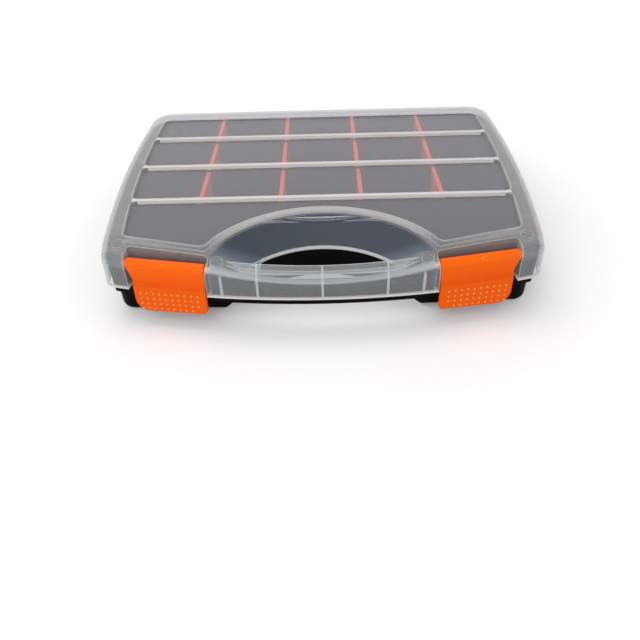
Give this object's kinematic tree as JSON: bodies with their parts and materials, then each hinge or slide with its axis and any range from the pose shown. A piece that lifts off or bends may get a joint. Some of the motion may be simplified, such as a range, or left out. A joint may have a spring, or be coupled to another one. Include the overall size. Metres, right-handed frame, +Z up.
{
  "type": "parts sorting box",
  "caption": "Shallow carry box with a hinged see-through lid, wall rows, removable dividers, front carry handle and plate latches that hook under the tray.",
  "frame": {"origin": "centre of the bounding box on the table plane", "axes": "+Z up, handle and latches towards -Y, hinges towards +Y, +X to the right seen from the handle"},
  "size_m": [0.3174, 0.264, 0.056],
  "materials": {
    "black_plastic": "fine matte black polypropylene",
    "frosted_plastic": "frosted translucent polypropylene with clearer windows",
    "orange_plastic": "satin orange polypropylene",
    "steel": "plain drawn steel pin"
  },
  "bodies": {
    "base": {"base_tray": "black_plastic", "divider_row1_col1": "orange_plastic", "divider_row1_col2": "orange_plastic", "divider_row1_col3": "orange_plastic", "divider_row1_col4": "orange_plastic", "divider_row2_col1": "orange_plastic", "divider_row2_col2": "orange_plastic", "divider_row2_col3": "orange_plastic", "divider_row2_col4": "orange_plastic", "divider_row3_col1": "orange_plastic", "divider_row3_col2": "orange_plastic", "divider_row3_col3": "orange_plastic", "divider_row3_col4": "orange_plastic", "hinge_pin_left": "steel", "hinge_pin_right": "steel"},
    "lid": {"lid_shell": "frosted_plastic"},
    "latch_left": {"latch_left": "orange_plastic"},
    "latch_right": {"latch_right": "orange_plastic"}
  },
  "joints": [
    {"name": "lid_hinge", "type": "hinge", "parent": "base", "child": "lid", "pos_m": [0, 0.129, 0.0285], "axis": [-1, 0, 0], "range_deg": [0, 180]},
    {"name": "latch_right_hinge", "type": "hinge", "parent": "lid", "child": "latch_right", "pos_m": [0.10151, -0.11578, 0.046], "axis": [0.9833, 0.1822, 0], "range_deg": [-100, 0]},
    {"name": "latch_left_hinge", "type": "hinge", "parent": "lid", "child": "latch_left", "pos_m": [-0.10151, -0.11578, 0.046], "axis": [0.9833, -0.1822, 0], "range_deg": [-100, 0]}
  ]
}
